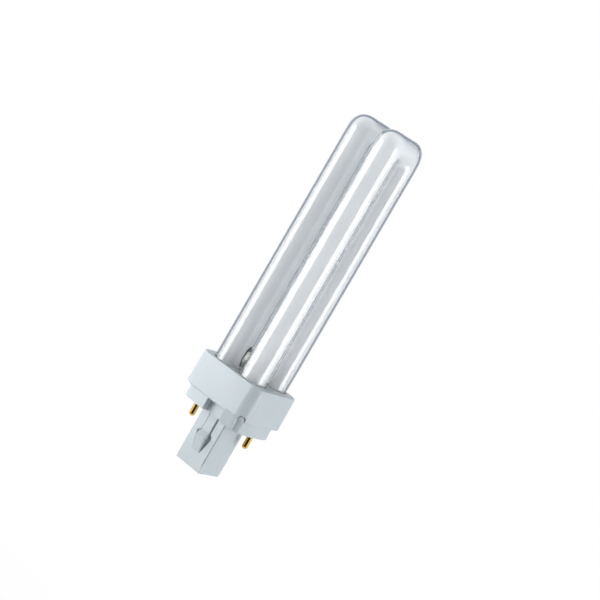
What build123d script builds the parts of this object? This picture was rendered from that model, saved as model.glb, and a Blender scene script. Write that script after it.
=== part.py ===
from build123d import *
import os

# A plug-in compact fluorescent lamp of 18 watts: a folded glass discharge tube of four
# upright limbs, cemented into a moulded collar that is closed from below by the plug.
# Millimetres. +Z runs up the lamp, from the plug to the tube tops. The origin is on the
# lamp's axis, in the plane that seats on the lampholder: the underside of the step.
# Seen from the front, -Y is nearest and +X is on the right. The moulded parts look the
# same after half a turn about the lamp's axis.

# Glass discharge tube
tube_top = 130.0
tube_diameter = 12.0
tube_wall = 1.0
limb_spacing = 14.15
bridge_height = 25.2
bridge_neck_radius = 3.4
bridge_flare_radius = 4.8
bridge_bore_radius = 2.2
press_thickness = 3.0
press_length = 4.4
press_shoulder = 3.2
press_floor = 1.0
press_slit = 1.0
tip_radius = 1.7
tip_bore_radius = 0.8
tip_length = 1.7
tip_wall = 0.7
tip_point_share = 0.6
tip_rise_share = 0.4
drawn_height = 4.5
tube_end_clearance = 0.5

# Collar, the moulding that the tube is cemented into
collar_length = 35.0
collar_width = 29.7
collar_end_bow = 0.5
collar_side_bow = 0.67
collar_corner = 5.3
collar_bottom = 5.15
collar_top = 19.65
collar_draw_in = 0.22
collar_wall = 1.2
collar_roof = 2.0
collar_lower_round = 0.6
collar_upper_round = 0.7
limb_clearance = 0.15

# Step, the lower tier of the plug moulding
step_length = 33.3
step_width = 27.1
step_end_bow = 1.7
step_side_bow = 1.85
step_corner = 5.4
step_wall = 1.4
step_floor = 2.0

# Flange and skirt that close the collar from below
flange_thickness = 1.0
skirt_height = 3.0
skirt_wall = 1.2
skirt_clearance = 0.1

# Keyway in the front of the step, and the collar's lug from there up to the snap notch
keyway_left = -2.5
keyway_right = 7.8
keyway_back = 10.3
keyway_wall = 1.2
lug_right = 13.9
lug_foot = 0.45
lug_clearance = 0.15

# Snap notch in the corner of the collar's lower edge, with the plug's tab in it
notch_width = 3.2
notch_height = 2.0
notch_chamfer = 0.7
tab_clearance = 0.3
tab_sink = 0.45
notch_inset = 2.4

# Post, the square housing below the step that holds the starter
post_length = 23.0
post_width_x = 13.7
post_width_y = 13.6
post_draft = 0.2
post_wall = 1.3
post_end_wall = 1.5
post_edge_break = 0.2

# Snap catch on the front and the back of the post
catch_width = 4.4
catch_lift = 0.5
catch_height = 2.2
catch_start = -7.7
catch_crest = -10.0
catch_tip = -16.6
catch_slot = 0.45
catch_edge_round = 0.35
scoop_top = -7.3
scoop_reach = 4.2
scoop_widest = -9.2
scoop_depth = 0.9
slot_overrun = 0.5

# Marks of the mould on the post's front and back
seam_inset = 0.35
seam_width = 0.3
seam_depth = 0.5
seam_end = -20.0
panel_line_half = 3.8
panel_line_width = 0.2
mark_depth = 0.12
ejector_x = -0.8
ejector_z = -21.9
ejector_radius = 0.45

# Contact pins, drawn brass tube
pin_diameter = 2.35
pin_seat_diameter = 2.8
pin_seat_proud = 0.15
pin_bore = 1.2
pin_length = 7.0
pin_x = 11.33
pin_y = 5.14
pin_flange_diameter = 3.4
pin_flange_thickness = 0.5
pin_head = 0.5
pin_head_diameter = 1.9
pin_hole_clearance = 0.03
pin_tip_wall = 0.6

# Wires inside the lamp
lead_diameter = 0.5
thin_lead_diameter = 0.4
lead_spread = 2.0
lead_bend = 0.9
wire_clearance = 0.02
pin_lead_level = 4.3
starter_lead_level = 3.4
lead_end_in_pin = 1.2

# Electrodes, one in the end of each back limb
coil_height = 26.0
coil_radius = 0.4
bead_drop = 5.0
bead_radius = 0.9

# Starter and its capacitor, inside the post
starter_x = -1.6
starter_radius = 3.7
starter_glass = 0.5
starter_drawn_in = 1.4
starter_foot_gap = 0.3
starter_length = 16.5
starter_press_thickness = 1.8
starter_press_length = 2.0
starter_shoulder = 1.5
starter_lead_spacing = 3.0
bimetal_thickness = 0.25
bimetal_width = 1.8
bimetal_length = 6.0
bimetal_gap = 0.5
capacitor_thickness = 2.5
capacitor_width = 8.0
capacitor_height = 11.0
capacitor_round = 0.5
capacitor_gap = 0.3
capacitor_lead_spacing = 5.0
capacitor_lead_levels = (2.3, 1.4)
sleeve_top = 0.4
sleeve_length = 3.4
sleeve_wall = 0.3
sleeve_pair = 0.5
sleeve_end_gap = 0.2

# Cement that holds the limbs in the collar, and the pellet that doses the mercury
cement_depth = 4.0
cement_clearance = 0.05
pellet_clearance = 0.1
pellet_length = 1.2

# Sizes that follow from those above
tube_radius = tube_diameter / 2
tube_bore = tube_radius - tube_wall
half_spacing = limb_spacing / 2
bend_height = tube_top - tube_radius
flange_top = collar_bottom + flange_thickness
limb_end = flange_top + tube_end_clearance
limb_foot = limb_end + press_length + press_shoulder
roof_underside = collar_top - collar_roof
front_limbs = [(-half_spacing, -half_spacing), (half_spacing, -half_spacing)]
back_limbs = [(-half_spacing, half_spacing), (half_spacing, half_spacing)]
post_front = post_width_y / 2
starter_low = -post_length + post_end_wall + starter_foot_gap
starter_high = starter_low + starter_length
capacitor_x = post_width_x / 2 - post_wall - capacitor_gap - capacitor_thickness / 2


def slab(face, low, high):
    """Raise a flat outline into a solid between two heights."""
    return extrude(Pos(0, 0, low) * face, high - low)


def block(x_low, x_high, y_low, y_high, z_low, z_high):
    """Box between two corners."""
    middle = Pos((x_low + x_high) / 2, (y_low + y_high) / 2, (z_low + z_high) / 2)
    return middle * Box(x_high - x_low, y_high - y_low, z_high - z_low)


def both_ways(shape):
    """The shape and its copy after half a turn about the lamp's axis."""
    return [shape, Rot(0, 0, 180) * shape]


def bowed_outline(length, width, end_bow, side_bow, corner):
    """Outline of four slightly bulged sides with rounded corners."""
    x = length / 2 - end_bow
    y = width / 2 - side_bow
    sides = [
        ThreePointArc((-x, -y), (0, -width / 2), (x, -y)),
        ThreePointArc((x, -y), (length / 2, 0), (x, y)),
        ThreePointArc((x, y), (0, width / 2), (-x, y)),
        ThreePointArc((-x, y), (-length / 2, 0), (-x, -y)),
    ]
    face = make_face(Curve() + sides)
    return fillet(face.vertices(), corner)


def collar_outline(inset=0.0):
    """Outline of the collar's lower rim, drawn in by an inset."""
    length = collar_length - 2 * inset
    width = collar_width - 2 * inset
    return bowed_outline(length, width, collar_end_bow, collar_side_bow, collar_corner - inset)


def step_outline(inset=0.0):
    """Outline of the step, drawn in by an inset."""
    length = step_length - 2 * inset
    width = step_width - 2 * inset
    return bowed_outline(length, width, step_end_bow, step_side_bow, step_corner - inset)


def edge_steps(radius):
    """Rounded edge as two flats: distance from the end face and inset from the side."""
    middle = radius * (1 - 0.5**0.5)
    return [(0, radius), (middle, middle), (radius, 0)]


def column(x, y, radius, low, high):
    """Upright cylinder between two heights."""
    return Pos(x, y, (low + high) / 2) * Cylinder(radius, high - low)


def pressed_end(x, y, radius, thickness, low, press_top, foot):
    """End of a glass tube, flattened across Y from its foot down to the press."""
    round_part = column(x, y, radius, low, foot)
    wedge = [
        (y - radius, foot),
        (y + radius, foot),
        (y + thickness / 2, press_top),
        (y + thickness / 2, low),
        (y - thickness / 2, low),
        (y - thickness / 2, press_top),
    ]
    profile = Plane.YZ * make_face(Polyline(*wedge, close=True))
    flat = Pos(x - radius, 0, 0) * extrude(profile, 2 * radius)
    return round_part & flat


def limb_columns(radius):
    """The four limbs and the two squared bends that join each front limb to a back one."""
    shape = None
    for x in (-half_spacing, half_spacing):
        crossing = Pos(x, 0, bend_height) * Rot(90, 0, 0) * Cylinder(radius, limb_spacing)
        shape = crossing if shape is None else shape + crossing
        for y in (-half_spacing, half_spacing):
            shape += column(x, y, radius, limb_foot, bend_height)
            shape += Pos(x, y, bend_height) * Sphere(radius)
    return shape


def bridge_neck():
    """Waisted glass neck fused between the two front limbs, turned about the X axis."""
    reach = half_spacing - (tube_radius**2 - bridge_flare_radius**2) ** 0.5
    waist = [
        ThreePointArc((-reach, bridge_flare_radius), (0, bridge_neck_radius), (reach, bridge_flare_radius)),
        Polyline((reach, bridge_flare_radius), (reach, 0), (-reach, 0), (-reach, bridge_flare_radius)),
    ]
    profile = Plane.XZ * make_face(Curve() + waist)
    return Pos(0, -half_spacing, bridge_height) * revolve(profile, Axis.X)


def drawn_end(x, y, radius, tip, low):
    """End of a front limb, drawn in by a flame to a cone that runs out in its exhaust tip."""
    shoulder = limb_end + tip_length
    profile = [
        (0, low),
        (tip * tip_point_share, low),
        (tip, low + tip * tip_rise_share),
        (tip, shoulder),
        (radius, shoulder + drawn_height),
        (radius, limb_foot),
        (0, limb_foot),
    ]
    face = Plane.XZ * make_face(Polyline(*profile, close=True))
    return Pos(x, y, 0) * revolve(face, Axis.Z)


def make_discharge_tube():
    """One glass envelope: pressed back limbs, drawn front limbs with tips, and a bridge."""
    press_top = limb_foot - press_shoulder
    outer = limb_columns(tube_radius) + bridge_neck()
    inner = limb_columns(tube_bore)
    bridge_bore = Rot(0, 90, 0) * Cylinder(bridge_bore_radius, limb_spacing)
    inner += Pos(0, -half_spacing, bridge_height) * bridge_bore
    cavity_low = press_top + press_floor
    for x, y in back_limbs:
        outer += pressed_end(x, y, tube_radius, press_thickness, limb_end, press_top, limb_foot)
        slit_low = cavity_low - press_floor / 2
        inner += pressed_end(x, y, tube_bore, press_slit, slit_low, cavity_low, limb_foot)
    for x, y in front_limbs:
        outer += drawn_end(x, y, tube_radius, tip_radius, limb_end)
        inner += drawn_end(x, y, tube_bore, tip_bore_radius, limb_end + tip_wall)
    glass = outer - inner
    for x, y in back_limbs:
        for side in (-1, 1):
            hole_radius = lead_diameter / 2 + wire_clearance
            glass -= column(x + side * lead_spread, y, hole_radius, limb_end - 1, limb_foot)
    return glass


def snap_window(width, height, chamfer_size, inset):
    """Arch at the front right corner of the collar's lower edge, from an inset outwards."""
    corner_x = collar_length / 2 - collar_end_bow
    corner_y = collar_width / 2 - collar_side_bow
    across = width / 2
    arch = [
        (-across, 0),
        (-across, height - chamfer_size),
        (-across + chamfer_size, height),
        (across - chamfer_size, height),
        (across, height - chamfer_size),
        (across, 0),
    ]
    profile = Plane.XZ * make_face(Polyline(*arch, close=True))
    outwards = extrude(profile, collar_corner)
    to_round = collar_corner * (2**0.5 - 1)
    start = Pos(0, to_round + inset, 0) * outwards
    return Pos(corner_x, -corner_y, collar_bottom) * Rot(0, 0, 45) * start


def make_collar():
    """Moulded shell, open below, with a roof that the four limbs pass through."""
    levels = [(collar_bottom + up, inset) for up, inset in edge_steps(collar_lower_round)]
    for down, inset in reversed(edge_steps(collar_upper_round)):
        levels.append((collar_top - down, collar_draw_in + inset))
    body = loft([Pos(0, 0, z) * collar_outline(inset) for z, inset in levels], ruled=True)
    lug = slab(collar_outline(), lug_foot, collar_bottom + 2 * collar_lower_round)
    lug &= lug_range(0, lug_foot, collar_top)
    for piece in both_ways(lug):
        body += piece
    body -= slab(collar_outline(collar_wall), 0, roof_underside)
    for x, y in front_limbs + back_limbs:
        body -= column(x, y, tube_radius + limb_clearance, collar_bottom, collar_top + 1)
    notch = snap_window(notch_width, notch_height, notch_chamfer, notch_inset)
    for window in both_ways(notch):
        body -= window
    return body


def keyway_box(grow, low, high):
    """Space of the keyway, grown on its sides and back by a wall."""
    back = -keyway_back + grow
    return block(keyway_left - grow, keyway_right + grow, -collar_width, back, low, high)


def lug_range(grow, low, high):
    """Stretch of the front that the collar's lug takes, grown on its sides."""
    return block(keyway_right - grow, lug_right + grow, -collar_width, -keyway_back, low, high)


def post_solid():
    """Outside of the post, drawn in slightly towards its end."""
    outline = Rectangle(post_width_x, post_width_y)
    outline = chamfer(outline.vertices(), post_edge_break)
    return extrude(outline, -post_length, taper=post_draft)


def catch_profile_solid():
    """Snap catch in side view: a low tongue, a short ramp to the crest, a long ramp back."""
    root = -post_front + post_wall
    front = -post_front
    side = [
        (root, 0),
        (front - catch_lift, 0),
        (front - catch_lift, catch_start),
        (front - catch_height, catch_crest),
        (front, catch_tip),
        (root, catch_tip),
    ]
    profile = Plane.YZ * make_face(Polyline(*side, close=True))
    tongue = Pos(-catch_width / 2, 0, 0) * extrude(profile, catch_width)
    long_edges = [e for e in tongue.edges() if e.center().Y < front - catch_lift / 2]
    side_edges = [e for e in long_edges if abs(abs(e.center().X) - catch_width / 2) < 0.01]
    return fillet(side_edges, catch_edge_round)


def catch_space():
    """Slots on both sides of the catch and the scoops beside its ramp."""
    half = catch_width / 2
    front = -post_front
    cut = None
    for side in (-1, 1):
        near = side * half
        far = side * (half + catch_slot)
        x_low, x_high = min(near, far), max(near, far)
        slot = block(x_low, x_high, front - 1, front + post_wall + slot_overrun, scoop_widest, 0)
        wide = side * scoop_reach
        outline = [
            Line((near, scoop_top), (near, catch_tip)),
            Line((near, catch_tip), (wide, scoop_widest)),
            Line((wide, scoop_widest), (near, scoop_top)),
        ]
        face = make_face(Curve() + outline)
        plane = Plane(origin=(0, front, 0), x_dir=(1, 0, 0), z_dir=(0, -1, 0))
        scoop = extrude(plane * face, -scoop_depth)
        cut = slot + scoop if cut is None else cut + slot + scoop
    return cut


def mould_marks():
    """Seam beside the corner, faint panel line and ejector mark on the post's front."""
    front = -post_front
    seam_x = post_width_x / 2 - seam_inset
    seam = block(seam_x - seam_width, seam_x, front - 1, front + seam_depth, seam_end, 0)
    line = block(
        -panel_line_half,
        panel_line_half,
        front - 1,
        front + mark_depth,
        seam_end - panel_line_width,
        seam_end,
    )
    ejector = Pos(ejector_x, front, ejector_z) * Rot(90, 0, 0) * Cylinder(ejector_radius, 2 * mark_depth)
    return [seam, line, ejector]


def make_plug_base():
    """Step, post and closing flange in one moulding, hollow for the starter and wires."""
    body = slab(step_outline(), 0, collar_bottom) + post_solid()
    body += slab(collar_outline(collar_wall + skirt_clearance), collar_bottom, collar_bottom + skirt_height)
    lug_room = slab(collar_outline() - collar_outline(collar_wall + lug_clearance), -1, flange_top)
    for room in both_ways(lug_room & lug_range(lug_clearance, -1, collar_bottom)):
        body -= room
    inner_skirt = collar_outline(collar_wall + skirt_clearance + skirt_wall)
    hollow = slab(inner_skirt, flange_top, collar_bottom + skirt_height + 1)
    hollow += slab(step_outline(step_wall), step_floor, flange_top)
    post_hollow = Rectangle(post_width_x - 2 * post_wall, post_width_y - 2 * post_wall)
    hollow += slab(post_hollow, -post_length + post_end_wall, step_floor)
    keyway_walls = keyway_box(keyway_wall, 0, flange_top)
    for walls in both_ways(keyway_walls):
        hollow -= walls
    body -= hollow
    for space in both_ways(keyway_box(0, -1, collar_bottom)):
        body -= space
    for gap in both_ways(catch_space()):
        body -= gap
    for catch in both_ways(catch_profile_solid()):
        body += catch
    for mark in mould_marks():
        for cut in both_ways(mark):
            body -= cut
    tab = snap_window(
        notch_width - 2 * tab_clearance,
        notch_height - tab_clearance,
        notch_chamfer,
        notch_inset + tab_sink,
    )
    for piece in both_ways(tab & slab(collar_outline(tab_sink), collar_bottom, collar_top)):
        body += piece
    for x, y in ((-pin_x, -pin_y), (pin_x, pin_y)):
        body -= column(x, y, pin_seat_diameter / 2 + pin_hole_clearance, -1, step_floor + 1)
    return body


def make_contact_pin(x, y):
    """Brass pin: a tube with a round closed end, a wider seat in the step's floor and a narrow head."""
    radius = pin_diameter / 2
    tip_centre = -pin_length + radius
    flange_high = step_floor + pin_flange_thickness
    head_top = flange_high + pin_head
    pin = column(x, y, radius, tip_centre, -pin_seat_proud)
    pin += Pos(x, y, tip_centre) * Sphere(radius)
    pin += column(x, y, pin_seat_diameter / 2, -pin_seat_proud, step_floor)
    pin += column(x, y, pin_flange_diameter / 2, step_floor, flange_high)
    pin += column(x, y, pin_head_diameter / 2, flange_high, head_top)
    return pin - column(x, y, pin_bore / 2, -pin_length + pin_tip_wall + pin_bore / 2, head_top + 1)


def wire(points, diameter, bend):
    """Round wire along straight runs, each corner turned in two steps by a short run across it."""
    corners = [Vector(*point) for point in points]
    route = [corners[0]]
    for before, corner, after in zip(corners, corners[1:], corners[2:]):
        route.append(corner + (before - corner).normalized() * bend)
        route.append(corner + (after - corner).normalized() * bend)
    route.append(corners[-1])
    path = Polyline(*route)
    start = Plane(origin=path @ 0, z_dir=path % 0)
    return sweep(start * Circle(diameter / 2), path=path, transition=Transition.RIGHT)


def make_pin_lead(side):
    """Wire from an electrode, through the glass, into the contact pin on its side."""
    x = side * (half_spacing + lead_spread)
    pin = (side * pin_x, side * pin_y)
    points = [
        (x, half_spacing, coil_height + coil_radius),
        (x, half_spacing, pin_lead_level),
        (pin[0], pin[1], pin_lead_level),
        (pin[0], pin[1], -pin_length + pin_tip_wall + lead_end_in_pin),
    ]
    return wire(points, lead_diameter, lead_bend)


def sleeve_place(side):
    """Centre of the crimp sleeve for one side, above its starter lead."""
    return starter_x + side * starter_lead_spacing / 2


def sleeve_middle():
    """Height in a sleeve where the wires from above and below meet."""
    return sleeve_top - sleeve_length / 2


def make_starter_lead(side):
    """Wire from the other end of an electrode to the crimp sleeve above the starter."""
    x = side * (half_spacing - lead_spread)
    target = (sleeve_place(side), sleeve_pair / 2)
    points = [
        (x, half_spacing, coil_height + coil_radius),
        (x, half_spacing, starter_lead_level),
        (target[0], target[1], starter_lead_level),
        (target[0], target[1], sleeve_middle() + sleeve_end_gap),
    ]
    return wire(points, thin_lead_diameter, lead_bend)


def make_crimp_sleeve(side):
    """Flattened brass tube crimped over the wires that meet above the starter."""
    bore = thin_lead_diameter / 2 + wire_clearance
    slot = SlotCenterToCenter(sleeve_pair, 2 * bore, rotation=90)
    outside = SlotCenterToCenter(sleeve_pair, 2 * (bore + sleeve_wall), rotation=90)
    ring = slab(outside - slot, sleeve_top - sleeve_length, sleeve_top)
    return Pos(sleeve_place(side), 0, 0) * ring


def make_electrode_coil(side):
    """Tungsten coil filled with its white coating, so a slim bar between its two wires."""
    length = 2 * lead_spread - lead_diameter - 2 * wire_clearance
    bar = Rot(0, 90, 0) * Cylinder(coil_radius, length)
    return Pos(side * half_spacing, half_spacing, coil_height) * bar


def make_electrode_bead(side):
    """Glass rod, melted on to the two wires of one electrode to hold them apart."""
    x = side * half_spacing
    z = coil_height - bead_drop
    length = 2 * (lead_spread + bead_radius)
    bar = Pos(x, half_spacing, z) * Rot(0, 90, 0) * Cylinder(bead_radius, length)
    hole = lead_diameter / 2 + wire_clearance
    for end in (-lead_spread, lead_spread):
        bar -= column(x + end, half_spacing, hole, z - 2 * bead_radius, z + 2 * bead_radius)
    return bar


def make_starter_bottle():
    """Glow starter's glass bottle, domed below and pressed flat above round its leads."""
    press_low = starter_high - starter_press_length
    foot = press_low - starter_shoulder
    bore = starter_radius - starter_glass
    outer = column(starter_x, 0, starter_radius, starter_low, foot)
    outer = chamfer(outer.faces().sort_by(Axis.Z)[0].edges(), starter_drawn_in)
    inner = column(starter_x, 0, bore, starter_low + starter_glass, foot)
    inner = chamfer(inner.faces().sort_by(Axis.Z)[0].edges(), starter_drawn_in)
    upright = Pos(0, 0, foot) * Rot(180, 0, 0)
    tip_low = foot - starter_high
    roof_low = foot - press_low
    top = pressed_end(starter_x, 0, starter_radius, starter_press_thickness, tip_low, roof_low, 0)
    roof = pressed_end(starter_x, 0, bore, starter_glass, roof_low, roof_low + starter_glass, 0)
    glass = outer + upright * top - inner - upright * roof
    hole = thin_lead_diameter / 2 + wire_clearance
    for side in (-1, 1):
        glass -= column(sleeve_place(side), 0, hole, foot, starter_high + 1)
    return glass


def starter_stem(side, low):
    """Wire from inside the bottle up into the crimp sleeve."""
    return column(sleeve_place(side), 0, thin_lead_diameter / 2, low, sleeve_middle() - sleeve_end_gap)


def make_starter_bimetal():
    """Bimetal strip bent into a U, welded to its wire inside the bottle."""
    top = starter_high - starter_press_length - starter_shoulder
    low = top - bimetal_length
    x = sleeve_place(-1)
    bend = (starter_lead_spacing - bimetal_gap - thin_lead_diameter / 2 - bimetal_thickness) / 2
    free_x = x + 2 * bend
    path = Line((x, top), (x, low))
    path += ThreePointArc((x, low), (x + bend, low - bend), (free_x, low))
    path += Line((free_x, low), (free_x, low + bimetal_length / 2))
    start = Plane(origin=(x, 0, top), x_dir=(1, 0, 0), z_dir=(0, 0, -1))
    strip = sweep(start * Rectangle(bimetal_thickness, bimetal_width), path=Plane.XZ * path)
    return strip + starter_stem(-1, top - bimetal_length / 2)


def make_starter_contact():
    """Fixed contact of the starter, a straight wire beside the bimetal's free end."""
    top = starter_high - starter_press_length - starter_shoulder
    return starter_stem(1, top - bimetal_length)


def make_capacitor():
    """Dipped film capacitor that stands beside the starter bottle."""
    body = Pos(capacitor_x, 0, starter_low + capacitor_height / 2)
    body *= Box(capacitor_thickness, capacitor_width, capacitor_height)
    return fillet(body.edges().filter_by(Axis.Z), capacitor_round)


def make_capacitor_leads():
    """The capacitor's two wires, bent over into the crimp sleeves."""
    top = starter_low + capacitor_height
    leads = []
    for side, level in zip((-1, 1), capacitor_lead_levels):
        y = side * capacitor_lead_spacing / 2
        target = (sleeve_place(side), -sleeve_pair / 2)
        points = [
            (capacitor_x, y, top),
            (capacitor_x, y, level),
            (target[0], target[1], level),
            (target[0], target[1], sleeve_middle() + sleeve_end_gap),
        ]
        leads.append(wire(points, thin_lead_diameter, lead_bend))
    return Compound(children=leads)


def make_tube_cement():
    """Cement that fills the collar round the limbs, under its roof."""
    outline = collar_outline(collar_wall + cement_clearance)
    body = slab(outline, roof_underside - cement_depth, roof_underside)
    for x, y in front_limbs + back_limbs:
        body -= column(x, y, tube_radius + cement_clearance, collar_bottom, collar_top)
    return body


def make_amalgam_pellet():
    """Pellet that holds the mercury, a short rod in the tip of the left front limb."""
    x, y = front_limbs[0]
    low = limb_end + tip_wall + tip_bore_radius * tip_rise_share
    return column(x, y, tip_bore_radius - pellet_clearance, low, low + pellet_length)


parts = {
    "discharge_tube": make_discharge_tube(),
    "collar": make_collar(),
    "plug_base": make_plug_base(),
    "tube_cement": make_tube_cement(),
    "amalgam_pellet": make_amalgam_pellet(),
    "starter_bottle": make_starter_bottle(),
    "starter_bimetal": make_starter_bimetal(),
    "starter_contact": make_starter_contact(),
    "capacitor": make_capacitor(),
    "capacitor_leads": make_capacitor_leads(),
}
for side, word in ((-1, "left"), (1, "right")):
    parts["contact_pin_" + word] = make_contact_pin(side * pin_x, side * pin_y)
    parts["electrode_coil_" + word] = make_electrode_coil(side)
    parts["electrode_bead_" + word] = make_electrode_bead(side)
    parts["pin_lead_" + word] = make_pin_lead(side)
    parts["starter_lead_" + word] = make_starter_lead(side)
    parts["crimp_sleeve_" + word] = make_crimp_sleeve(side)

os.makedirs("parts", exist_ok=True)
for name, shape in parts.items():
    export_step(shape, "parts/" + name + ".step")
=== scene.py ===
import math

import bmesh
import bpy
from mathutils import Matrix, Vector


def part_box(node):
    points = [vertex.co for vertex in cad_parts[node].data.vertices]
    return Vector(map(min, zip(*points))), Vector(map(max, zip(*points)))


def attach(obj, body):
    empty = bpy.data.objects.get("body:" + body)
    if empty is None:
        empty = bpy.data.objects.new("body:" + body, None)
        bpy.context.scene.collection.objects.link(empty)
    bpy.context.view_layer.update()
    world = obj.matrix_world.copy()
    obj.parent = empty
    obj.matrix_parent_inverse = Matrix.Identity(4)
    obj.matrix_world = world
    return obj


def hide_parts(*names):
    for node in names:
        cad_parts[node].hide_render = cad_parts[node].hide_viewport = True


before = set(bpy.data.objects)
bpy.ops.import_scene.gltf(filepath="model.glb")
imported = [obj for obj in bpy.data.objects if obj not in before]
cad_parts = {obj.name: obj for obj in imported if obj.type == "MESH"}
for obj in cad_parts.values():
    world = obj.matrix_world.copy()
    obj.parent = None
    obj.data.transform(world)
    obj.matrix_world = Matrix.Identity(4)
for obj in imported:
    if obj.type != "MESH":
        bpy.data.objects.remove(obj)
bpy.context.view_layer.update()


# The camera stands in front of the lamp's right corner, a little above its middle, with a long
# lens, and is rolled, so that the upright lamp leans across the picture.
view_azimuth = math.radians(33.80)
view_elevation = math.radians(6.20)
view_roll = math.radians(30.18)
view_distance = 0.57745
aim_height = 0.0535
slide_right, slide_up = 0.00243, -0.00010
lens_mm = 88.95
far_clip = 20


def place_camera():
    """Puts the camera on its line of sight, rolled about it."""
    back = Vector((
        math.sin(view_azimuth) * math.cos(view_elevation),
        -math.cos(view_azimuth) * math.cos(view_elevation),
        math.sin(view_elevation),
    ))
    level = Vector((math.cos(view_azimuth), math.sin(view_azimuth), 0))
    above = back.cross(level)
    right = level * math.cos(view_roll) + above * math.sin(view_roll)
    up = above * math.cos(view_roll) - level * math.sin(view_roll)
    spot = Vector((0, 0, aim_height)) + back * view_distance + right * slide_right + up * slide_up
    data = bpy.data.cameras.new("camera")
    data.lens = lens_mm
    data.clip_end = far_clip
    camera = bpy.data.objects.new("camera", data)
    camera.matrix_world = Matrix.Translation(spot) @ Matrix((right, up, back)).transposed().to_4x4()
    bpy.context.scene.collection.objects.link(camera)
    bpy.context.scene.camera = camera


place_camera()


# The studio: white paper behind, a pale floor well below, a soft lamp on each side, one above and
# two bounce lamps that gloss doesn't mirror. The side lamps make the bright stripes down the
# tubes. The dark lines at their edges are the room, seen through the rim of the glass.
paper = "#FFFFFF"
ambient_colour = "#F2F4F7"
ambient_front, ambient_back = 0.07, 0.66
room_shade = "#2C323B"
wall_shade = "#848F9D"
paper_edge, paper_full = math.radians(23), math.radians(15)
wall_edge, wall_full = math.radians(75), math.radians(45)
side_edge, side_full = math.radians(140), math.radians(112)
side_glow = 1.3
first_diffuse = 0.5
floor_drop = 0.45
floor_size = 1.5
floor_glow = 0.985
floor_colour = "#F4F4F4"
lamp_distance = 0.55


def linear(hex_colour):
    """An sRGB hex colour as the linear values that the shaders take."""
    parts = [int(hex_colour[i:i + 2], 16) / 255 for i in (1, 3, 5)]
    return tuple(c / 12.92 if c <= 0.04045 else ((c + 0.055) / 1.055) ** 2.4 for c in parts) + (1.0,)


def add_node(tree, kind, settings=None, links=None):
    """Adds one node to a tree, with its own properties, its input values and what feeds it."""
    node = tree.nodes.new(kind)
    for name, value in (settings or {}).items():
        if isinstance(name, int) or name in node.inputs:
            node.inputs[name].default_value = value
        else:
            setattr(node, name, value)
    for name, source in (links or {}).items():
        tree.links.new(source, node.inputs[name])
    return node


def light_world():
    """White for the camera, paper and a dim room for gloss and glass, and for the rest light from behind."""
    world = bpy.data.worlds.new("studio")
    bpy.context.scene.world = world
    world.use_nodes = True
    tree = world.node_tree
    tree.nodes.clear()
    path = add_node(tree, "ShaderNodeLightPath")
    ray = add_node(tree, "ShaderNodeTexCoord")
    behind = (-math.sin(view_azimuth), math.cos(view_azimuth), 0)
    turned = add_node(tree, "ShaderNodeVectorMath", {"operation": "DOT_PRODUCT", 1: behind},
                      {0: ray.outputs["Generated"]})
    off = add_node(tree, "ShaderNodeMath", {"operation": "ARCCOSINE"}, {0: turned.outputs["Value"]})
    on_wall = add_node(tree, "ShaderNodeMapRange", {"From Min": wall_edge, "From Max": wall_full},
                       {"Value": off.outputs[0]})
    on_paper = add_node(tree, "ShaderNodeMapRange", {"From Min": paper_edge, "From Max": paper_full},
                        {"Value": off.outputs[0]})
    on_side = add_node(tree, "ShaderNodeMapRange", {"From Min": side_edge, "From Max": side_full},
                       {"Value": off.outputs[0]})
    glowing = tuple(side_glow * channel for channel in linear(paper))
    side = add_node(tree, "ShaderNodeMix", {"data_type": "RGBA", 6: linear(room_shade), 7: glowing},
                    {0: on_side.outputs["Result"]})
    room = add_node(tree, "ShaderNodeMix", {"data_type": "RGBA", 7: linear(wall_shade)},
                    {0: on_wall.outputs["Result"], 6: side.outputs[2]})
    mirrored = add_node(tree, "ShaderNodeMix", {"data_type": "RGBA", 7: linear(paper)},
                        {0: on_paper.outputs["Result"], 6: room.outputs[2]})
    bent = add_node(tree, "ShaderNodeMath", {"operation": "MAXIMUM"},
                    {0: path.outputs["Is Glossy Ray"], 1: path.outputs["Is Transmission Ray"]})
    sharp = add_node(tree, "ShaderNodeMath", {"operation": "LESS_THAN", 1: first_diffuse},
                     {0: path.outputs["Diffuse Depth"]})
    in_gloss = add_node(tree, "ShaderNodeMath", {"operation": "MULTIPLY"},
                        {0: bent.outputs[0], 1: sharp.outputs[0]})
    falling = add_node(tree, "ShaderNodeMapRange", {
        "From Min": wall_edge, "From Max": math.pi, "To Min": ambient_back, "To Max": ambient_front},
        {"Value": off.outputs[0]})
    ambient = add_node(tree, "ShaderNodeBackground", {"Color": linear(ambient_colour)},
                       {"Strength": falling.outputs["Result"]})
    gloss = add_node(tree, "ShaderNodeBackground", {"Strength": 1.0}, {"Color": mirrored.outputs[2]})
    white = add_node(tree, "ShaderNodeBackground", {"Color": linear(paper), "Strength": 1.0})
    unseen = add_node(tree, "ShaderNodeMixShader", {}, {
        0: in_gloss.outputs[0], 1: ambient.outputs[0], 2: gloss.outputs[0]})
    both = add_node(tree, "ShaderNodeMixShader", {}, {
        0: path.outputs["Is Camera Ray"], 1: unseen.outputs[0], 2: white.outputs[0]})
    add_node(tree, "ShaderNodeOutputWorld", {}, {"Surface": both.outputs[0]})


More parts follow.
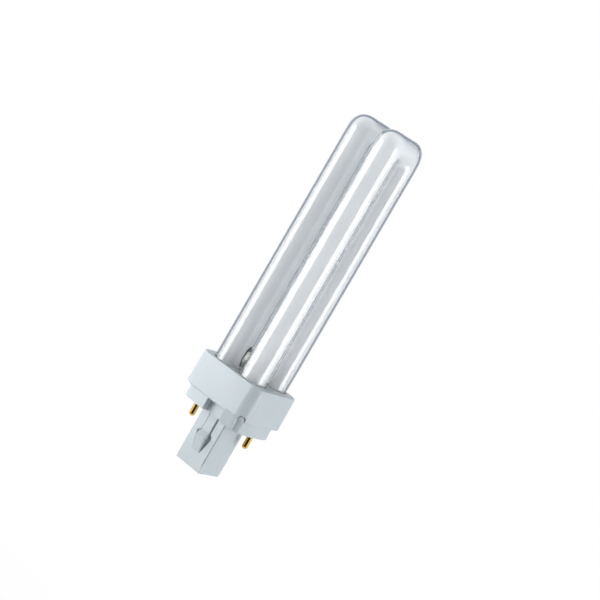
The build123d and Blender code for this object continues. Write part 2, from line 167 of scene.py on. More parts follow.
def soft_lamp(name, turn, height, width, tall, power, mirrored=True):
    """A soft lamp that faces the object, turned from the line of sight by some degrees."""
    angle = view_azimuth + math.radians(turn)
    data = bpy.data.lights.new(name, "AREA")
    data.shape = "RECTANGLE"
    data.size, data.size_y = width, tall
    data.energy = power
    spot = Vector((math.sin(angle) * lamp_distance, -math.cos(angle) * lamp_distance, height))
    lamp = bpy.data.objects.new(name, data)
    lamp.location = spot
    lamp.rotation_euler = (Vector((0, 0, aim_height)) - spot).to_track_quat("-Z", "Y").to_euler()
    lamp.visible_camera = False
    lamp.visible_glossy = lamp.visible_transmission = mirrored
    bpy.context.scene.collection.objects.link(lamp)


def lay_floor():
    """Pale paper floor that the camera sees white, with a little of the shadow on it."""
    material = bpy.data.materials.new("floor_paper")
    material.use_nodes = True
    tree = material.node_tree
    tree.nodes.clear()
    path = add_node(tree, "ShaderNodeLightPath")
    seen = add_node(tree, "ShaderNodeMath", {"operation": "MAXIMUM"},
                    {0: path.outputs["Is Camera Ray"], 1: path.outputs["Is Transmission Ray"]})
    share = add_node(tree, "ShaderNodeMath", {"operation": "MULTIPLY", 1: floor_glow}, {0: seen.outputs[0]})
    plain = add_node(tree, "ShaderNodeBsdfDiffuse", {"Color": linear(floor_colour)})
    glow = add_node(tree, "ShaderNodeEmission", {"Color": linear(paper), "Strength": 1.0})
    mixed = add_node(tree, "ShaderNodeMixShader", {}, {
        0: share.outputs[0], 1: plain.outputs[0], 2: glow.outputs[0]})
    add_node(tree, "ShaderNodeOutputMaterial", {}, {"Surface": mixed.outputs[0]})
    half = floor_size / 2
    mesh = bpy.data.meshes.new("floor")
    corners = [(x * half, y * half, -floor_drop) for x, y in ((-1, -1), (1, -1), (1, 1), (-1, 1))]
    mesh.from_pydata(corners, [], [(0, 1, 2, 3)])
    mesh.materials.append(material)
    floor = bpy.data.objects.new("floor", mesh)
    bpy.context.scene.collection.objects.link(floor)


bpy.context.scene.view_settings.view_transform = "Standard"
light_world()
soft_lamp("left_softbox", turn=-70, height=0.06, width=0.28, tall=0.34, power=1.8)
soft_lamp("right_softbox", turn=66, height=0.06, width=0.24, tall=0.34, power=1.4)
soft_lamp("top_softbox", turn=15, height=0.60, width=0.30, tall=0.30, power=0.3)
soft_lamp("left_bounce", turn=-118, height=0.06, width=0.50, tall=0.50, power=1.75, mirrored=False)
soft_lamp("right_bounce", turn=155, height=0.06, width=0.50, tall=0.50, power=2.0, mirrored=False)
lay_floor()


# The plug base: a white plastic moulding with the step, the square post and its two catches.
# It comes from a steel mould with a fine spark-eroded skin, which gives a soft, faintly grey gloss.
plastic_light = "#CAD4D8"
plastic_dark = "#C1CBD0"
plastic_roughness = 0.36
plastic_bending = 1.5
swirl_mm = 9.1
grain_mm = 0.12
skin_strength, skin_depth = 0.12, 0.00002
merge_gap = 2e-6
flat_angle = math.radians(0.6)
sharp_angle = math.radians(28)
weight_by_area = 100


def moulded_plastic(name, light, dark, roughness):
    """PBT, a stiff white moulding plastic: faintly clouded, with a grain that only softens its gloss."""
    material = bpy.data.materials.new(name)
    material.use_nodes = True
    tree = material.node_tree
    shader = tree.nodes["Principled BSDF"]
    shader.inputs["Roughness"].default_value = roughness
    shader.inputs["IOR"].default_value = plastic_bending
    place = add_node(tree, "ShaderNodeTexCoord")
    cloud = add_node(tree, "ShaderNodeTexNoise", {"Scale": 1000 / swirl_mm, "Detail": 3.0},
                     {"Vector": place.outputs["Object"]})
    colour = add_node(tree, "ShaderNodeMix", {"data_type": "RGBA", 6: linear(dark), 7: linear(light)},
                      {0: cloud.outputs[0]})
    grain = add_node(tree, "ShaderNodeTexNoise", {"Scale": 1000 / grain_mm, "Detail": 1.0},
                     {"Vector": place.outputs["Object"]})
    skin = add_node(tree, "ShaderNodeBump", {"Strength": skin_strength, "Distance": skin_depth},
                    {"Height": grain.outputs[0]})
    tree.links.new(colour.outputs[2], shader.inputs["Base Color"])
    tree.links.new(skin.outputs[0], shader.inputs["Normal"])
    return material


def moulded_copy(node, name, material):
    """A CAD node as it leaves its mould: triangles merged, flats flat, rounds shaded smooth."""
    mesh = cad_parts[node].data.copy()
    mesh.name = name
    mesh.materials.clear()
    mesh.materials.append(material)
    shell = bmesh.new()
    shell.from_mesh(mesh)
    bmesh.ops.remove_doubles(shell, verts=shell.verts, dist=merge_gap)
    bmesh.ops.dissolve_degenerate(shell, edges=shell.edges, dist=merge_gap)
    bmesh.ops.dissolve_limit(shell, verts=shell.verts, edges=shell.edges, angle_limit=flat_angle)
    for face in shell.faces:
        face.smooth = True
    for edge in shell.edges:
        edge.smooth = edge.calc_face_angle(0) < sharp_angle
    shell.to_mesh(mesh)
    shell.free()
    piece = bpy.data.objects.new(name, mesh)
    bpy.context.scene.collection.objects.link(piece)
    normals = piece.modifiers.new("flat_faces", "WEIGHTED_NORMAL")
    normals.weight = weight_by_area
    normals.keep_sharp = True
    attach(piece, "root")
    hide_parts(node)
    return piece


white_plastic = moulded_plastic("pbt_spark_eroded", plastic_light, plastic_dark, plastic_roughness)
moulded_copy("plug_base", "plug_moulding", white_plastic)


# The two contact pins: drawn brass tube with a round closed end, swaged into the floor of the
# step. Bright brass is a mirror, so they show dark room and white paper in narrow stripes.
brass_tones = ("#D9A948", "#EBC266")
brass_smooth, brass_dull = 0.04, 0.09
line_width_mm, line_length_mm = 1 / 6, 10 / 3
pin_crease = math.radians(40)
pin_sides = 64
cap_steps = 12
pin_shaft, pin_seat, pin_flange, pin_head, pin_bore = 0.001175, 0.0014, 0.0017, 0.00095, 0.0006
pin_levels = {"seat": -0.00015, "floor": 0.002, "flange": 0.0025, "head": 0.003, "bore": -0.0058}


def drawn_brass():
    """Brass, drawn and then tumbled: a warm mirror with faint lines, wider here than real ones to show."""
    material = bpy.data.materials.new("drawn_brass")
    material.use_nodes = True
    tree = material.node_tree
    shader = tree.nodes["Principled BSDF"]
    shader.inputs["Metallic"].default_value = 1.0
    place = add_node(tree, "ShaderNodeTexCoord")
    across = 1000 / line_width_mm
    along = add_node(tree, "ShaderNodeMapping", {"Scale": (across, across, 1000 / line_length_mm)},
                     {"Vector": place.outputs["Object"]})
    lines = add_node(tree, "ShaderNodeTexNoise", {"Scale": 1.0, "Detail": 2.0}, {"Vector": along.outputs[0]})
    colour = add_node(tree, "ShaderNodeMix", {
        "data_type": "RGBA", 6: linear(brass_tones[0]), 7: linear(brass_tones[1])}, {0: lines.outputs[0]})
    dull = add_node(tree, "ShaderNodeMapRange", {"To Min": brass_smooth, "To Max": brass_dull},
                    {"Value": lines.outputs[0]})
    tree.links.new(colour.outputs[2], shader.inputs["Base Color"])
    tree.links.new(dull.outputs["Result"], shader.inputs["Roughness"])
    return material


def turned_pin(node, name, material):
    """One pin, turned about its own axis from its outline, with the bore for the wire."""
    low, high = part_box(node)
    centre = (low + high) / 2
    outline = []
    for step in range(cap_steps + 1):
        angle = math.pi / 2 * step / cap_steps
        outline.append((pin_shaft * math.sin(angle), low.z + pin_shaft * (1 - math.cos(angle))))
    outline += [
        (pin_shaft, pin_levels["seat"]), (pin_seat, pin_levels["seat"]),
        (pin_seat, pin_levels["floor"]), (pin_flange, pin_levels["floor"]),
        (pin_flange, pin_levels["flange"]), (pin_head, pin_levels["flange"]),
        (pin_head, pin_levels["head"]), (pin_bore, pin_levels["head"]),
        (pin_bore, pin_levels["bore"]), (0, pin_levels["bore"]),
    ]
    shell = bmesh.new()
    points = [shell.verts.new((centre.x + radius, centre.y, z)) for radius, z in outline]
    edges = [shell.edges.new(pair) for pair in zip(points, points[1:])]
    bmesh.ops.spin(shell, geom=points + edges, cent=(centre.x, centre.y, 0), axis=(0, 0, 1),
                   angle=2 * math.pi, steps=pin_sides)
    bmesh.ops.remove_doubles(shell, verts=shell.verts, dist=merge_gap)
    bmesh.ops.recalc_face_normals(shell, faces=shell.faces)
    for face in shell.faces:
        face.smooth = True
    for edge in shell.edges:
        edge.smooth = edge.calc_face_angle(0) < pin_crease
    mesh = bpy.data.meshes.new(name)
    shell.to_mesh(mesh)
    shell.free()
    mesh.materials.append(material)
    piece = bpy.data.objects.new(name, mesh)
    bpy.context.scene.collection.objects.link(piece)
    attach(piece, "root")
    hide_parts(node)


brass = drawn_brass()
for side in ("left", "right"):
    turned_pin("contact_pin_" + side, "pin_" + side, brass)


# Inside the post: the glow starter in its small bottle, with the capacitor beside it, and brass
# sleeves crimped over the joints of their wires. The beads of the electrodes are the bottle's glass.
relief_strength, relief_depth = 0.2, 0.00003


def mottled(name, colours, grain_size_mm, settings):
    """An inner piece's finish: two close tones, mixed at the size of its own grain."""
    material = bpy.data.materials.new(name)
    material.use_nodes = True
    tree = material.node_tree
    shader = tree.nodes["Principled BSDF"]
    for key, value in settings.items():
        shader.inputs[key].default_value = value
    place = add_node(tree, "ShaderNodeTexCoord")
    noise = add_node(tree, "ShaderNodeTexNoise", {"Scale": 1000 / grain_size_mm, "Detail": 2.0},
                     {"Vector": place.outputs["Object"]})
    colour = add_node(tree, "ShaderNodeMix", {
        "data_type": "RGBA", 6: linear(colours[0]), 7: linear(colours[1])}, {0: noise.outputs[0]})
    relief = add_node(tree, "ShaderNodeBump", {"Strength": relief_strength, "Distance": relief_depth},
                      {"Height": noise.outputs[0]})
    tree.links.new(colour.outputs[2], shader.inputs["Base Color"])
    tree.links.new(relief.outputs[0], shader.inputs["Normal"])
    return material


def dress(node, material):
    """Gives a carried-over CAD node its finish."""
    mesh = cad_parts[node].data
    mesh.materials.clear()
    mesh.materials.append(material)


# Lead glass, drawn as thin tube, is clear with a green cast, and rolled bimetal is a dull grey
# metal. Tinned copper wire has a soft silver gloss. Epoxy, which the capacitor was dipped in, is
# a smooth brown.
lead_glass = mottled("lead_glass", ("#DCE6E2", "#E6EFEB"), grain_size_mm=2.0, settings={
    "Roughness": 0.05, "IOR": 1.56, "Alpha": 0.45})
bimetal_strip = mottled("rolled_bimetal", ("#8C8A84", "#A6A39B"), grain_size_mm=0.3, settings={
    "Metallic": 1.0, "Roughness": 0.35})
tinned_wire = mottled("tinned_copper_wire", ("#B9B6AE", "#CFCCC4"), grain_size_mm=0.2, settings={
    "Metallic": 1.0, "Roughness": 0.28})
epoxy_dip = mottled("epoxy_dipped", ("#8A4B2A", "#9A5833"), grain_size_mm=0.8, settings={
    "Roughness": 0.3, "IOR": 1.55})
dress("starter_bottle", lead_glass)
dress("starter_bimetal", bimetal_strip)
dress("starter_contact", tinned_wire)
dress("capacitor", epoxy_dip)
dress("capacitor_leads", tinned_wire)
for side in ("left", "right"):
    dress("crimp_sleeve_" + side, brass)
    dress("starter_lead_" + side, tinned_wire)
    dress("pin_lead_" + side, tinned_wire)
    dress("electrode_bead_" + side, lead_glass)


# The electrodes: a tungsten wire coiled tightly and filled with white emitter oxide, one in the
# end of each back limb, hung between its two wires.
coil_turns = 14
coil_wire = 0.00009
coil_radius = 0.00030
coil_ring, coil_facets = 8, 16


def coil_tree():
    """Nodes that wind one coil along Z and sweep its wire round it."""
    tree = bpy.data.node_groups.new("wound_coil", "GeometryNodeTree")
    tree.interface.new_socket("Geometry", in_out="OUTPUT", socket_type="NodeSocketGeometry")
    for name in ("Turns", "Radius", "Length", "Wire Radius"):
        tree.interface.new_socket(name, in_out="INPUT", socket_type="NodeSocketFloat")
    tree.interface.new_socket("Finish", in_out="INPUT", socket_type="NodeSocketMaterial")
    given = add_node(tree, "NodeGroupInput").outputs
    spiral = add_node(tree, "GeometryNodeCurveSpiral", {"Resolution": coil_facets}, {
        "Rotations": given["Turns"], "Start Radius": given["Radius"], "End Radius": given["Radius"],
        "Height": given["Length"]})
    wire = add_node(tree, "GeometryNodeCurvePrimitiveCircle", {"Resolution": coil_ring},
                    {"Radius": given["Wire Radius"]})
    swept = add_node(tree, "GeometryNodeCurveToMesh", {"Fill Caps": True},
                     {"Curve": spiral.outputs[0], "Profile Curve": wire.outputs[0]})
    real = add_node(tree, "GeometryNodeRealizeInstances", {}, {0: swept.outputs[0]})
    dressed = add_node(tree, "GeometryNodeSetMaterial", {}, {
        "Geometry": real.outputs[0], "Material": given["Finish"]})
    add_node(tree, "NodeGroupOutput", {}, {0: dressed.outputs[0]})
    return tree


def grown(name, tree, values, base=None):
    """Runs a node tree once with the given inputs and returns its result as a plain mesh."""
    holder = bpy.data.objects.new(name + "_source", base or bpy.data.meshes.new(name + "_source"))
    bpy.context.scene.collection.objects.link(holder)
    modifier = holder.modifiers.new("shape", "NODES")
    modifier.node_group = tree
    for item in tree.interface.items_tree:
        if item.in_out == "INPUT" and item.name in values:
            modifier[item.identifier] = values[item.name]
    solved = holder.evaluated_get(bpy.context.evaluated_depsgraph_get())
    mesh = bpy.data.meshes.new_from_object(solved)
    mesh.name = name
    holder.modifiers.remove(modifier)
    bpy.data.objects.remove(holder)
    return mesh


# Emitter oxide, dipped on wet and fired, is cream chalk with no gloss.
coil_coating = mottled("emitter_oxide", ("#D9D6CC", "#EAE7DD"), grain_size_mm=0.1, settings={
    "Roughness": 0.85})
winding = coil_tree()
for side in ("left", "right"):
    low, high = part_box("electrode_coil_" + side)
    centre = (low + high) / 2
    length = high.x - low.x - 2 * coil_wire
    coil = grown("coil_" + side, winding, {
        "Turns": float(coil_turns), "Radius": coil_radius, "Length": length,
        "Wire Radius": coil_wire, "Finish": coil_coating})
    coil.transform(Matrix.Translation(centre) @ Matrix.Rotation(math.pi / 2, 4, "Y")
                   @ Matrix.Translation((0, 0, -length / 2)))
    piece = bpy.data.objects.new("coil_" + side, coil)
    bpy.context.scene.collection.objects.link(piece)
    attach(piece, "root")
    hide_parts("electrode_coil_" + side)


# The discharge tube: 12 mm clear glass tubing bent into two U shapes, whose bends were blown
# square in a mould, and washed inside with white phosphor powder before it was sealed. The wall
# is real here: the powder is a surface of its own, close inside 1 mm of clear glass.
tube_radius, bore_radius, powder_radius = 0.006, 0.005, 0.00496
powder_tones = ("#F5F7F9", "#FAFBFC")
powder_roughness = 0.9
powder_thinness = 0.68
glass_bending, glass_roughness = 1.5, 0.015
cloud_mm = 17.0
squareness = 4.8
ring_sides = 96
bend_steps = 72
limb_steps = 16
tip_radius = 0.0017
tip_length = 0.0017
drawn_height = 0.0045
press_flatness = 0.25
press_top, press_foot = 0.01105, 0.01425
tube_low, tube_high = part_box("discharge_tube")
half_spacing = tube_high.x - tube_radius
pivot_height = tube_high.z - tube_radius - half_spacing


def phosphor_powder():
    """Phosphor powder, washed on and baked: chalk-dull, and so thin that light glows through from behind."""
    material = bpy.data.materials.new("phosphor_powder_coat")
    material.use_nodes = True
    tree = material.node_tree
    tree.nodes.clear()
    place = add_node(tree, "ShaderNodeTexCoord")
    cloud = add_node(tree, "ShaderNodeTexNoise", {"Scale": 1000 / cloud_mm, "Detail": 3.0},
                     {"Vector": place.outputs["Object"]})
    tone = add_node(tree, "ShaderNodeMix", {
        "data_type": "RGBA", 6: linear(powder_tones[0]), 7: linear(powder_tones[1])}, {0: cloud.outputs[0]})
    chalk = add_node(tree, "ShaderNodeBsdfPrincipled", {"Roughness": powder_roughness},
                     {"Base Color": tone.outputs[2]})
    through = add_node(tree, "ShaderNodeBsdfTranslucent", {}, {"Color": tone.outputs[2]})
    thin = add_node(tree, "ShaderNodeMixShader", {0: powder_thinness}, {
        1: chalk.outputs[0], 2: through.outputs[0]})
    add_node(tree, "ShaderNodeOutputMaterial", {}, {"Surface": thin.outputs[0]})
    return material


def clear_glass(name, tones, streak_mm):
    """Soda-lime glass, fire-polished: a hard clear gloss, which lets the lamps' light straight through."""
    material = bpy.data.materials.new(name)
    material.use_nodes = True
    tree = material.node_tree
    tree.nodes.clear()
    place = add_node(tree, "ShaderNodeTexCoord")
    streak = add_node(tree, "ShaderNodeTexNoise", {"Scale": 1000 / streak_mm, "Detail": 2.0},
                      {"Vector": place.outputs["Object"]})
    tint = add_node(tree, "ShaderNodeMix", {"data_type": "RGBA", 6: linear(tones[0]), 7: linear(tones[1])},
                    {0: streak.outputs[0]})
    glass = add_node(tree, "ShaderNodeBsdfPrincipled", {
        "Transmission Weight": 1.0, "IOR": glass_bending, "Roughness": glass_roughness},
        {"Base Color": tint.outputs[2]})
    path = add_node(tree, "ShaderNodeLightPath")
    clear = add_node(tree, "ShaderNodeBsdfTransparent")
    mixed = add_node(tree, "ShaderNodeMixShader", {}, {
        0: path.outputs["Is Shadow Ray"], 1: glass.outputs[0], 2: clear.outputs[0]})
    add_node(tree, "ShaderNodeOutputMaterial", {}, {"Surface": mixed.outputs[0]})
    return material


def tube_path():
    """Middle line of both U shapes, with the tubing's width at each point as a share of the full one."""
    points, widths, edges = [], [], []
    foot = tube_low.z
    ends = [
        (foot, tip_radius / tube_radius), (foot + tip_length, tip_radius / tube_radius),
        (foot + tip_length + drawn_height, 1.0),
    ]
    for x in (-half_spacing, half_spacing):
        start = len(points)
        for z, width in ends:
            points.append((x, -half_spacing, z))
            widths.append(width)
        for step in range(1, limb_steps + 1):
            z = ends[-1][0] + (pivot_height - ends[-1][0]) * step / limb_steps
            points.append((x, -half_spacing, z))
            widths.append(1.0)
        for step in range(1, bend_steps):
            angle = math.pi * step / bend_steps
            along, rise = half_spacing * math.cos(angle), half_spacing * math.sin(angle)
            points.append((x, -along, pivot_height + rise))
            widths.append(1.0)
        for step in range(limb_steps + 1):
            points.append((x, half_spacing, pivot_height + (foot - pivot_height) * step / limb_steps))
            widths.append(1.0)
        edges += [(i, i + 1) for i in range(start, len(points) - 1)]
    mesh = bpy.data.meshes.new("tube_path")
    mesh.from_pydata(points, edges, [])
    mesh.attributes.new("width", "FLOAT", "POINT").data.foreach_set("value", widths)
    return mesh


def tube_tree():
    """Nodes that sweep the tubing along its path and press the bends out to their square mould."""
    tree = bpy.data.node_groups.new("folded_tubes", "GeometryNodeTree")
    tree.interface.new_socket("Geometry", in_out="OUTPUT", socket_type="NodeSocketGeometry")
    tree.interface.new_socket("Geometry", in_out="INPUT", socket_type="NodeSocketGeometry")
    for name in ("Tube Radius", "Half Spacing", "Pivot Height", "Squareness"):
        tree.interface.new_socket(name, in_out="INPUT", socket_type="NodeSocketFloat")
    tree.interface.new_socket("Finish", in_out="INPUT", socket_type="NodeSocketMaterial")
    given = add_node(tree, "NodeGroupInput").outputs
    width = add_node(tree, "GeometryNodeInputNamedAttribute", {"data_type": "FLOAT", "Name": "width"})
    path = add_node(tree, "GeometryNodeMeshToCurve", {}, {0: given["Geometry"]})
    sized = add_node(tree, "GeometryNodeSetCurveRadius", {}, {
        "Curve": path.outputs[0], "Radius": width.outputs[0]})
    ring = add_node(tree, "GeometryNodeCurvePrimitiveCircle", {"Resolution": ring_sides},
                    {"Radius": given["Tube Radius"]})
    swept = add_node(tree, "GeometryNodeCurveToMesh", {"Fill Caps": True},
                     {"Curve": sized.outputs[0], "Profile Curve": ring.outputs[0]})
    here = add_node(tree, "GeometryNodeInputPosition")
    axis = add_node(tree, "ShaderNodeSeparateXYZ", {}, {0: here.outputs[0]})
    above = add_node(tree, "ShaderNodeMath", {"operation": "SUBTRACT"},
                     {0: axis.outputs["Z"], 1: given["Pivot Height"]})
    aside = add_node(tree, "ShaderNodeMath", {"operation": "ABSOLUTE"}, {0: axis.outputs["Y"]})
    arm = add_node(tree, "ShaderNodeCombineXYZ", {}, {"Y": aside.outputs[0], "Z": above.outputs[0]})
    reach = add_node(tree, "ShaderNodeVectorMath", {"operation": "LENGTH"}, {0: arm.outputs[0]})
    side_power = add_node(tree, "ShaderNodeMath", {"operation": "POWER"},
                          {0: aside.outputs[0], 1: given["Squareness"]})
    rise_power = add_node(tree, "ShaderNodeMath", {"operation": "POWER"},
                          {0: above.outputs[0], 1: given["Squareness"]})
    powers = add_node(tree, "ShaderNodeMath", {"operation": "ADD"},
                      {0: side_power.outputs[0], 1: rise_power.outputs[0]})
    root = add_node(tree, "ShaderNodeMath", {"operation": "DIVIDE", 0: 1.0}, {1: given["Squareness"]})
    norm = add_node(tree, "ShaderNodeMath", {"operation": "POWER"},
                    {0: powers.outputs[0], 1: root.outputs[0]})
    bulge = add_node(tree, "ShaderNodeMath", {"operation": "DIVIDE"},
                     {0: reach.outputs["Value"], 1: norm.outputs[0]})
    outer = add_node(tree, "ShaderNodeMath", {"operation": "ADD"},
                     {0: given["Half Spacing"], 1: given["Tube Radius"]})
    inner = add_node(tree, "ShaderNodeMath", {"operation": "SUBTRACT"},
                     {0: given["Half Spacing"], 1: given["Tube Radius"]})
    square = add_node(tree, "ShaderNodeMath", {"operation": "MULTIPLY"},
                      {0: bulge.outputs[0], 1: outer.outputs[0]})
    pushed = add_node(tree, "ShaderNodeMapRange", {"clamp": False}, {
        "Value": reach.outputs["Value"], "From Min": inner.outputs[0], "From Max": outer.outputs[0],
        "To Min": inner.outputs[0], "To Max": square.outputs[0]})
    share = add_node(tree, "ShaderNodeMath", {"operation": "DIVIDE"},
                     {0: pushed.outputs["Result"], 1: reach.outputs["Value"]})
    new_y = add_node(tree, "ShaderNodeMath", {"operation": "MULTIPLY"},
                     {0: axis.outputs["Y"], 1: share.outputs[0]})
    new_z = add_node(tree, "ShaderNodeMath", {"operation": "MULTIPLY_ADD"},
                     {0: above.outputs[0], 1: share.outputs[0], 2: given["Pivot Height"]})
    target = add_node(tree, "ShaderNodeCombineXYZ", {},
                      {"X": axis.outputs["X"], "Y": new_y.outputs[0], "Z": new_z.outputs[0]})
    in_bend = add_node(tree, "FunctionNodeCompare", {"operation": "GREATER_THAN", 1: 0.0},
                       {0: above.outputs[0]})
    squared = add_node(tree, "GeometryNodeSetPosition", {}, {
        "Geometry": swept.outputs[0], "Selection": in_bend.outputs[0], "Position": target.outputs[0]})
    smooth = add_node(tree, "GeometryNodeSetShadeSmooth", {}, {0: squared.outputs[0]})
    real = add_node(tree, "GeometryNodeRealizeInstances", {}, {0: smooth.outputs[0]})
    dressed = add_node(tree, "GeometryNodeSetMaterial", {}, {
        "Geometry": real.outputs[0], "Material": given["Finish"]})
    add_node(tree, "NodeGroupOutput", {}, {0: dressed.outputs[0]})
    return tree


def folded_surface(name, radius, material):
    """One surface of the folded tubing, pressed flat where the back limbs' ends were pinched shut."""
    mesh = grown(name, folding, {
        "Tube Radius": radius, "Half Spacing": half_spacing, "Pivot Height": pivot_height,
        "Squareness": squareness, "Finish": material}, tube_path())
    for vertex in mesh.vertices:
        if vertex.co.y > 0 and vertex.co.z < press_foot:
            rise = max(0.0, (vertex.co.z - press_top) / (press_foot - press_top))
            flat = press_flatness + (1 - press_flatness) * rise
            vertex.co.y = half_spacing + (vertex.co.y - half_spacing) * flat
    return mesh


def outward(shell, mesh):
    """Adds a closed surface to a shell, with its faces pointing out."""
    shell.from_mesh(mesh)
    bmesh.ops.remove_doubles(shell, verts=shell.verts, dist=merge_gap)
    bmesh.ops.recalc_face_normals(shell, faces=shell.faces)


folding = tube_tree()
tube_glass = clear_glass("fire_polished_glass", ("#F8F9FA", "#FAFBFB"), streak_mm=4.0)
outside = folded_surface("tube_outside", tube_radius, tube_glass)
bore = folded_surface("tube_bore", bore_radius, tube_glass)
powder = folded_surface("phosphor_coating", powder_radius, phosphor_powder())
wall = bmesh.new()
outward(wall, bore)
bmesh.ops.reverse_faces(wall, faces=wall.faces)
whole = bmesh.new()
outward(whole, outside)
whole.to_mesh(outside)
whole.free()
wall.from_mesh(outside)
wall.to_mesh(outside)
wall.free()
surfaces = ((outside, "folded_tubes", "clear_glass"), (powder, "phosphor_coating", "phosphor_glass"))
for mesh, name, slot in surfaces:
    piece = bpy.data.objects.new(name, mesh)
    bpy.context.scene.collection.objects.link(piece)
    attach(piece, "root")
    if mesh is outside:
        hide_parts("discharge_tube")


# The bridge between the two front limbs: both walls were blown through by a flame and fused
# where they nearly touch, which leaves a low, narrow neck of clear glass with no powder in it.
bridge_height = 0.0252
neck_radius, flare_radius, neck_bore = 0.0038, 0.0046, 0.0026
neck_narrowness = 0.32
neck_reach = 0.00145
neck_sides = 64
neck_steps = 16
crease_angle = math.radians(40)


def blown_neck(material):
    """Waisted neck about the X axis, with its bore, as narrow across the limbs as the flame left it."""
    shell = bmesh.new()
    outline = []
    for step in range(neck_steps + 1):
        along = -1 + 2 * step / neck_steps
        outline.append((along * neck_reach, neck_radius + (flare_radius - neck_radius) * along ** 2))
    outline += [(neck_reach, neck_bore), (-neck_reach, neck_bore)]
    points = [shell.verts.new((x, 0, radius)) for x, radius in outline]
    edges = [shell.edges.new(pair) for pair in zip(points, points[1:] + points[:1])]
    bmesh.ops.spin(shell, geom=points + edges, cent=(0, 0, 0), axis=(1, 0, 0),
                   angle=2 * math.pi, steps=neck_sides)
    bmesh.ops.remove_doubles(shell, verts=shell.verts, dist=merge_gap)
    bmesh.ops.scale(shell, verts=shell.verts, vec=(1, neck_narrowness, 1))
    bmesh.ops.translate(shell, verts=shell.verts, vec=(0, -half_spacing, bridge_height))
    bmesh.ops.recalc_face_normals(shell, faces=shell.faces)
    for face in shell.faces:
        face.smooth = True
    for edge in shell.edges:
        edge.smooth = edge.calc_face_angle(0) < crease_angle
    mesh = bpy.data.meshes.new("bridge_neck")
    shell.to_mesh(mesh)
    shell.free()
    mesh.materials.append(material)
    return mesh


fused_glass = clear_glass("fused_glass", ("#E4E8DC", "#F4F6F1"), streak_mm=2.0)
neck = bpy.data.objects.new("bridge_neck", blown_neck(fused_glass))
bpy.context.scene.collection.objects.link(neck)
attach(neck, "root")


# The amalgam pellet: a small cast rod of bismuth and indium that holds the mercury, in the tip
# of the left front limb. It is a grey metal, dulled by its own skin.
amalgam = mottled("bismuth_indium_amalgam", ("#8F9296", "#A9ACB0"), grain_size_mm=0.15, settings={
    "Metallic": 1.0, "Roughness": 0.4})
dress("amalgam_pellet", amalgam)


# The collar: a white shell moulded in the same plastic, which the four limbs stand in. Brown-grey
# cement fixes them from below, and crumbs of it stay in the gap round each limb. The lug on each
# long side is drawn back at its free end, so that it runs into the step.
crumb_count = 90
crumb_size = 0.00022
crumb_gap = 0.0001
crumb_ring = tube_radius + crumb_gap
crumb_seed = 7
crumb_least, crumb_most = 0.3, 1.2
crumb_drift = 0.5
crumb_turn = (6.28, 6.28, 6.28)
lug_left, lug_right, lug_foot, lug_face = 0.0078, 0.0139, 0.001, 0.0138
lug_draw = 0.00125


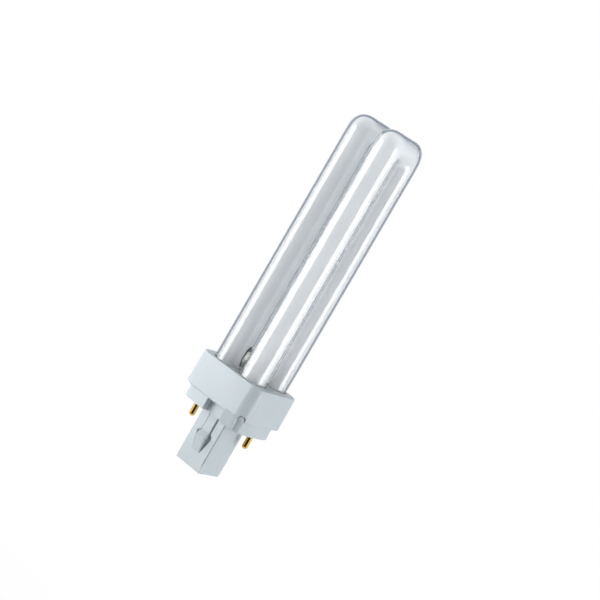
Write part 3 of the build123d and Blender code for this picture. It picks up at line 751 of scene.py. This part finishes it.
def crumb_tree():
    """Nodes that strew crumbs of uneven size round a limb, with a fixed seed."""
    tree = bpy.data.node_groups.new("cement_crumbs", "GeometryNodeTree")
    tree.interface.new_socket("Geometry", in_out="OUTPUT", socket_type="NodeSocketGeometry")
    for name in ("Ring Radius", "Crumb Size", "Height"):
        tree.interface.new_socket(name, in_out="INPUT", socket_type="NodeSocketFloat")
    for name in ("Count", "Seed"):
        tree.interface.new_socket(name, in_out="INPUT", socket_type="NodeSocketInt")
    tree.interface.new_socket("Finish", in_out="INPUT", socket_type="NodeSocketMaterial")
    given = add_node(tree, "NodeGroupInput").outputs
    ring = add_node(tree, "GeometryNodeCurvePrimitiveCircle", {}, {
        "Resolution": given["Count"], "Radius": given["Ring Radius"]})
    level = add_node(tree, "ShaderNodeCombineXYZ", {}, {"Z": given["Height"]})
    raised = add_node(tree, "GeometryNodeTransform", {}, {
        "Geometry": ring.outputs[0], "Translation": level.outputs[0]})
    spread = add_node(tree, "ShaderNodeMath", {"operation": "MULTIPLY", 1: crumb_drift},
                      {0: given["Crumb Size"]})
    under = add_node(tree, "ShaderNodeMath", {"operation": "MULTIPLY", 1: -crumb_drift},
                     {0: given["Crumb Size"]})
    drift = add_node(tree, "FunctionNodeRandomValue", {"data_type": "FLOAT_VECTOR"}, {
        0: under.outputs[0], 1: spread.outputs[0], "Seed": given["Seed"]})
    strewn = add_node(tree, "GeometryNodeSetPosition", {}, {
        "Geometry": raised.outputs[0], "Offset": drift.outputs[0]})
    crumb = add_node(tree, "GeometryNodeMeshIcoSphere", {"Subdivisions": 1}, {"Radius": given["Crumb Size"]})
    size = add_node(tree, "FunctionNodeRandomValue", {"data_type": "FLOAT", 2: crumb_least, 3: crumb_most},
                    {"Seed": given["Seed"]})
    turn = add_node(tree, "FunctionNodeRandomValue", {"data_type": "FLOAT_VECTOR", 1: crumb_turn},
                    {"Seed": given["Seed"]})
    placed = add_node(tree, "GeometryNodeInstanceOnPoints", {}, {
        "Points": strewn.outputs[0], "Instance": crumb.outputs[0], "Scale": size.outputs[1],
        "Rotation": turn.outputs[0]})
    real = add_node(tree, "GeometryNodeRealizeInstances", {}, {0: placed.outputs[0]})
    dressed = add_node(tree, "GeometryNodeSetMaterial", {}, {
        "Geometry": real.outputs[0], "Material": given["Finish"]})
    add_node(tree, "NodeGroupOutput", {}, {0: dressed.outputs[0]})
    return tree


shell = moulded_copy("collar", "collar_shell", white_plastic)
for vertex in shell.data.vertices:
    front = -1 if vertex.co.y > 0 else 1
    along, out = vertex.co.x * front, -vertex.co.y * front
    if vertex.co.z < lug_foot and along > lug_left and out > lug_face:
        vertex.co.y += front * lug_draw * (along - lug_left) / (lug_right - lug_left)
# Lamp cement, squeezed in as paste and baked, is brown-grey and as dull as stone.
cement = mottled("lamp_cement", ("#8E8A76", "#B3AD98"), grain_size_mm=0.4, settings={"Roughness": 0.9})
dress("tube_cement", cement)
strewing = crumb_tree()
collar_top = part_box("collar")[1].z
for limb, (side, depth) in enumerate(((-1, -1), (1, -1), (1, 1), (-1, 1)), start=1):
    crumbs = grown("cement_crumbs_%d" % limb, strewing, {
        "Ring Radius": crumb_ring, "Crumb Size": crumb_size, "Height": collar_top,
        "Count": crumb_count, "Seed": crumb_seed + limb, "Finish": cement})
    crumbs.transform(Matrix.Translation((side * half_spacing, depth * half_spacing, 0)))
    piece = bpy.data.objects.new("cement_crumbs_%d" % limb, crumbs)
    bpy.context.scene.collection.objects.link(piece)
    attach(piece, "root")
